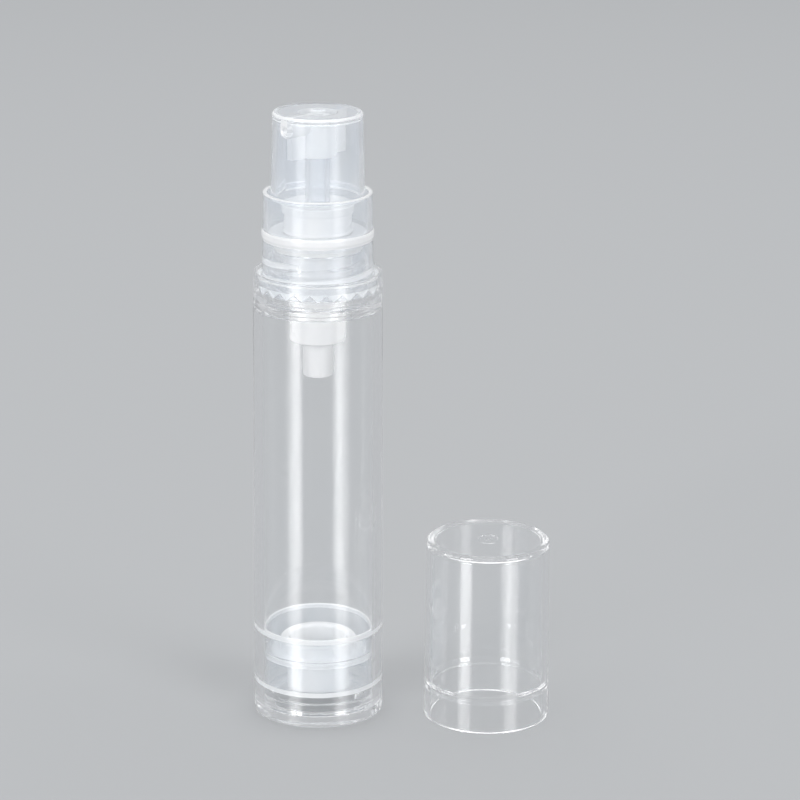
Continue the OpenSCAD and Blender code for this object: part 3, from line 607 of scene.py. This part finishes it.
# The plunger is a white polypropylene disc with a rod that stands in the stem, and the soft
# polyethylene seal slides on it. Both work inside the barrel.
plunger_low, disc_high, disc_r = 70.95, 71.75, 2.95
rod_r, rod_top = 1.1, plunger_low + 7.2
rod = spin("plunger_white", outline([
    (0, plunger_low), (disc_r, plunger_low, 0.1), (disc_r, disc_high, 0.1), (rod_r, disc_high, 0.1),
    (rod_r, rod_top, 0.2), (0, rod_top)], closed=False), closed=False, columns=96)
fit(rod, white_polypropylene, "plunger", "plunger_rod", "white_plastic")
seal_low, seal_high = 71.9, 75.0
seal_r, seal_bore_r, seal_waist_r = 3.38, 1.2, 2.68
seal_lip, seal_edge, seal_flare = 0.3, 0.2, 0.7
seal = spin("piston_seal_soft", outline([
    (seal_bore_r, seal_low), (seal_r - seal_lip, seal_low, 0.1), (seal_r, seal_low + seal_edge, 0.1),
    (seal_waist_r, seal_low + seal_flare, 0.2), (seal_waist_r, seal_high - seal_flare, 0.2),
    (seal_r, seal_high - seal_edge, 0.1), (seal_r - seal_lip, seal_high, 0.1),
    (seal_bore_r, seal_high)]), columns=96)
fit(seal, soft_polyethylene, "plunger", "piston_seal", "soft_white_plastic")

# The stem is a hollow tube of natural polypropylene. Its foot stops under the chaplet and its
# upper end stands in the head's socket.
frosted_polypropylene = moulded(
    "frosted_polypropylene", colour=(0.95, 0.97, 0.99), cloud_colour=(0.90, 0.93, 0.97),
    speck_colour=(0.95, 0.95, 0.95), wave=0.8, scratch=0.5, smooth=0.05, dull=0.10, relief=0.03,
    lets_by=0.95, Transmission_Weight=0.80, IOR=1.49)
stem_r, stem_bore_r, stem_foot_r = 1.88, 1.15, 2.6
stem_low, stem_foot_top, stem_top = 75.15, 76.35, 91.15
stem = spin("pump_stem_frosted", outline([
    (stem_bore_r, stem_low), (stem_foot_r, stem_low, 0.1), (stem_foot_r, stem_foot_top, 0.1),
    (stem_r, stem_foot_top, 0.05), (stem_r, stem_top, 0.15), (stem_bore_r, stem_top, 0.1)]),
    columns=144)
fit(stem, frosted_polypropylene, "plunger", "pump_stem", "frosted_plastic")

# The chaplet is a thick ring of natural polypropylene that looks nearly white. It snaps into the
# turret, closes its top with a rim, and guides the stem in its bore.
dense_polypropylene = moulded(
    "dense_polypropylene", colour=(0.97, 0.975, 0.98), cloud_colour=(0.93, 0.94, 0.96),
    speck_colour=(0.85, 0.85, 0.85), wave=0.8, scratch=0.5, smooth=0.16, dull=0.26, relief=0.03,
    lets_by=0.50, Transmission_Weight=0.08, IOR=1.49)
guide_r, guide_bore_r, guide_low = 4.3, 1.92, 76.65
rim_r, rim_low, chaplet_top = 5.5, turret_top + 0.01, 80.76
chaplet = spin("chaplet_frosted", outline([
    (guide_bore_r, guide_low, 0.1), (guide_r, guide_low, 0.15), (guide_r, rim_low, 0.05),
    (rim_r, rim_low, 0.1), (rim_r + 0.1, chaplet_top, 0.12), (guide_bore_r, chaplet_top, 0.15)]),
    columns=192)
fit(chaplet, dense_polypropylene, "pump", "chaplet", "frosted_plastic")

# The screw collar is frosted polypropylene, milky where it is thick. Its thread's ridge and teeth are
# also drawn whiter as a painted highlight for the light their flanks catch, and the flange's edge and
# the sleeve's rim are whiter only as a painted highlight. It screws down on the neck by its inner
# thread, and its deck grips the turret. Above are an open sleeve round the head and the bead that the
# cap snaps over, and below is a flange with V teeth.
milky_polypropylene = moulded(
    "milky_polypropylene", colour=(0.97, 0.98, 0.99), cloud_colour=(0.93, 0.95, 0.97),
    speck_colour=(0.95, 0.95, 0.95), wave=0.8, scratch=0.5, smooth=0.14, dull=0.22, relief=0.03,
    lets_by=0.60, Transmission_Weight=0.14, IOR=1.49)
collar_low, teeth_root = 67.61, 68.61
collar_bore_r, collar_r = 7.82, 8.46
flange_r, flange_top = 9.26, 69.91
deck_low, deck_top, deck_bore_r = 75.4, 76.3, turret_r + 0.1
sleeve_bore_r, sleeve_rim_r, sleeve_low_r = 7.63, 8.21, 8.34
sleeve_low, sleeve_top = 74.7, 82.5
bead_r, bead_z, bead_foot, bead_crest = 8.5, 76.2, 0.75, 0.35
tooth_inner_r, tooth_h, tooth_count = 8.66, 0.94, 24
female_crest_r, female_lead = 7.22, 0.3


def zigzag(angle, shift):
    """A triangle wave from 0 to 1 round the axis, with a crest at each tooth."""
    return np.abs(((angle * tooth_count / (2 * pi) + shift) % 1) * 2 - 1)


def collar_shape(r, z, angle):
    """Drops the V teeth from the flange's underside."""
    under = (np.abs(z - teeth_root) < 0.01) & (r > tooth_inner_r - 0.001)
    return r, z - np.where(under, tooth_h * zigzag(angle, 0), 0)


collar = spin("screw_collar_frosted", outline([
    (collar_bore_r, collar_low, 0.08), (collar_r, collar_low, 0.08), (collar_r, teeth_root, 0.05),
    (tooth_inner_r - 0.02, teeth_root, 0), (tooth_inner_r, teeth_root, 0), (flange_r, teeth_root, 0),
    (flange_r, flange_top, 0.12), (collar_r, flange_top, 0.12), (sleeve_low_r, sleeve_low, 0.3),
    (sleeve_low_r, bead_z - bead_foot, 0.2), (bead_r, bead_z - bead_crest, 0.2),
    (bead_r, bead_z + bead_crest, 0.2), (sleeve_low_r - 0.02, bead_z + bead_foot, 0.3),
    (sleeve_rim_r, sleeve_top, 0.12), (sleeve_bore_r, sleeve_top, 0.12),
    (sleeve_bore_r, deck_top, 0.3), (deck_bore_r, deck_top, 0.1), (deck_bore_r, deck_low, 0.1),
    (collar_bore_r, deck_low, 0.2)]), shape=collar_shape)
female_ridge = thread("female_ridge", collar_bore_r, female_crest_r, male_start - pitch / 2, female_lead)
combine(collar, [female_ridge], "UNION")


def collar_milky_and_highlit(r, angle, z):
    """The thread's ridge and the teeth, which are thick, and the edge of the flange. All three are also
    drawn whiter as a painted highlight for the light that the ridge's flanks, the teeth and the
    flange's edge catch.
    """
    ridges = (r < collar_bore_r - 0.05) & (z < deck_low - 0.2)
    flange_edge = (r > flange_r - 0.2) & (z > flange_top - 0.2)
    return ridges | flange_edge | ((z < teeth_root + 0.02) & (r > collar_r + 0.05))


def collar_dense_and_highlit(r, angle, z):
    """The deck with its bead, which are thick, and the sleeve's rim, which is drawn whiter as a painted
    highlight for the bright line it catches.
    """
    deck = np.abs(z - (deck_low + deck_top) / 2) < 0.55
    return deck | ((r > sleeve_low_r) & (np.abs(z - bead_z) < 0.7)) | (z > sleeve_top - 0.2)


# The milky zone's ridge, teeth and flange edge and the dense zone's sleeve rim carry painted highlights.
fit(collar, frosted_polypropylene, "collar", "screw_collar", "frosted_plastic",
    (milky_polypropylene, collar_milky_and_highlit), (dense_polypropylene, collar_dense_and_highlit))

# The shoulder ring is clear styrene. It stands on the shoulder, its V teeth mesh with the
# collar's so that the two turn as one, and its thin rim stands up round the flange as a seat for
# the cap.
ring_low, ring_floor, ring_rim = 66.35, 67.55, 70.4
ring_low_r, ring_rim_r, ring_inner_r = 9.79, 9.6, 9.3
ring_band_top = 68.2


def ring_teeth(r, z, angle):
    """Raises the V teeth from the ring's floor."""
    top = (np.abs(z - ring_floor) < 0.01) & (r > tooth_inner_r - 0.001)
    return r, z + np.where(top, tooth_h * zigzag(angle, 0.5), 0)


ring = spin("shoulder_ring_clear", outline([
    (collar_bore_r, ring_low, 0.1), (ring_low_r, ring_low, 0.3), (ring_low_r, ring_band_top, 1),
    (ring_rim_r, ring_rim, 0.1), (ring_inner_r, ring_rim, 0.1), (ring_inner_r, ring_floor, 0),
    (tooth_inner_r, ring_floor, 0), (tooth_inner_r - 0.02, ring_floor, 0),
    (collar_bore_r, ring_floor, 0.1)]), shape=ring_teeth)
fit(ring, clear_styrene, "collar", "shoulder_ring", "clear_plastic")

# The head is a thin shell of frosted polypropylene that is pushed on the stem. Under its top hang
# the stem's socket, the nozzle tube that runs to the side, the web below the tube and a matching
# rib on the other side.
head_low, head_top = 81.6, 94.7
head_skirt_r, head_top_r, head_wall = 7.13, 6.78, 0.7
head_inside = head_top - 0.9
socket_r, socket_low, socket_end = 2.85, head_top - 6.7, head_top - 3.5
socket_bore_r, socket_mouth_r = stem_r + 0.04, stem_r + 0.3
outlet_r = 0.9
nozzle_z, nozzle_r, nozzle_hole_r = head_top - 2.05, 1.3, 0.45
nozzle_start, nozzle_end = outlet_r + 0.5, head_top_r - head_wall / 2
nozzle_turn = radians(223)
rib_t, rib_foot, rib_reach = 0.9, socket_r - 0.4, 5.5
gate_r, gate_depth = 1.3, 0.3


def sideways(thing, turn, height):
    """Lays a solid that was spun upright along a direction round the bottle, at a height."""
    thing.data.transform(Matrix.Translation((0, 0, height * MM)) @ Matrix.Rotation(turn, 4, "Z")
                         @ Matrix.Rotation(pi / 2, 4, "Y"))
    return thing


def plate(name, shape, thickness):
    """A flat plate: an outline in x and z, given a thickness along y."""
    count = len(shape)
    points = np.concatenate([np.insert(shape, 1, side * thickness / 2, 1) for side in (-1, 1)])
    here, there = np.arange(count), np.roll(np.arange(count), -1)
    walls = np.stack([here, there, there + count, here + count], 1).tolist()
    return solid(name, points, walls + [here[::-1].tolist(), (here + count).tolist()])


head = spin("head_frosted", outline([
    (0, head_top - gate_depth), (gate_r - 0.3, head_top - gate_depth, 0.1), (gate_r, head_top, 0.1),
    (head_top_r, head_top, 0.45), (head_skirt_r, head_low, 0.15),
    (head_skirt_r - head_wall, head_low, 0.15), (head_top_r - head_wall, head_inside, 0.3),
    (socket_r, head_inside, 0.2), (socket_r, socket_low, 0.15), (socket_mouth_r, socket_low, 0.05),
    (socket_bore_r, socket_low + 0.4, 0.05), (socket_bore_r, socket_end, 0.05),
    (outlet_r, socket_end, 0.05), (outlet_r, nozzle_z, 0.05), (0, nozzle_z)], closed=False),
    closed=False)
nozzle = sideways(spin("nozzle", outline([
    (0, nozzle_start), (nozzle_r, nozzle_start, 0), (nozzle_r, nozzle_end, 0), (0, nozzle_end)],
    closed=False), closed=False, columns=96), nozzle_turn, nozzle_z)
rib_outline = outline([
    (rib_foot, socket_low, 0), (rib_reach, socket_low, 0.12), (rib_reach, head_inside + 0.3, 0),
    (rib_foot, head_inside + 0.3, 0)])
ribs = [plate("rib", rib_outline, rib_t) for _ in range(2)]
for rib, turn in zip(ribs, (nozzle_turn, nozzle_turn + pi)):
    rib.data.transform(Matrix.Rotation(turn, 4, "Z"))
combine(head, [nozzle, *ribs], "UNION")
hole = sideways(spin("hole", outline([
    (0, 0), (nozzle_hole_r, 0, 0), (nozzle_hole_r, head_top_r - 0.15, 0),
    (2 * nozzle_hole_r, head_top_r + 0.15, 0), (2 * nozzle_hole_r, head_top_r + 1, 0),
    (0, head_top_r + 1)], closed=False), closed=False, columns=64), nozzle_turn, nozzle_z)
combine(head, [hole], "DIFFERENCE")


def head_milky_and_highlit(r, angle, z):
    """The socket and the ribs, which hang inside the shell, and the shell's edges, which are drawn milky
    white as a painted highlight for the bright lines they catch.
    """
    hung = (r < head_top_r - head_wall - 0.02) & (z < head_inside - 0.05)
    return hung | (z < head_low + 0.2) | ((z > head_top - 0.45) & (r > head_top_r - 0.3))


def head_dense(r, angle, z):
    """The nozzle tube and the wall round its mouth."""
    aside = r * np.sin(angle - nozzle_turn)
    past_socket = r * np.cos(angle - nozzle_turn) > socket_r
    return past_socket & (np.hypot(aside, z - nozzle_z) < nozzle_r + 0.05)


# The milky edges of the shell are a painted highlight.
fit(head, frosted_polypropylene, "head", "actuator", "frosted_plastic",
    (milky_polypropylene, head_milky_and_highlit), (dense_polypropylene, head_dense))

# The overcap is a clear styrene cup, turned mouth down beside the bottle. A bead inside, near the
# mouth, snaps under the collar's, and the gate mark shows as a small ring in the top.
cap_low, cap_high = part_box("overcap")
cap_x = (cap_low.x + cap_high.x) / 2 / MM
cap_y = (cap_low.y + cap_high.y) / 2 / MM
cap_h = cap_high.z / MM
cap_r, cap_top_r, cap_wall, cap_top_t = 9.75, 9.45, 1.0, 1.0
cap_bore_r = cap_r - cap_wall
snap_z, snap_r = 4.95, 8.45
mark_r, mark_depth, pip_r, pip_depth = 1.5, 0.2, 0.5, 0.12
cap = spin("overcap_clear", outline([
    (0, cap_h - pip_depth), (pip_r / 2, cap_h - pip_depth, 0.1), (pip_r, cap_h - mark_depth, 0.1),
    (mark_r - 0.15, cap_h - mark_depth, 0.08), (mark_r, cap_h, 0.08), (cap_top_r, cap_h, 0.7),
    (cap_r, 0, 0.2), (cap_bore_r, 0, 0.15), (cap_bore_r, snap_z - 0.5, 0.2), (snap_r, snap_z, 0.2),
    (snap_r, snap_z + 0.3, 0.2), (cap_bore_r - 0.05, snap_z + 1, 0.2),
    (cap_top_r - cap_wall, cap_h - cap_top_t, 0.5), (0, cap_h - cap_top_t)], closed=False),
    closed=False, centre=(cap_x, cap_y))
fit(cap, clear_styrene, "cap", "overcap", "clear_plastic")
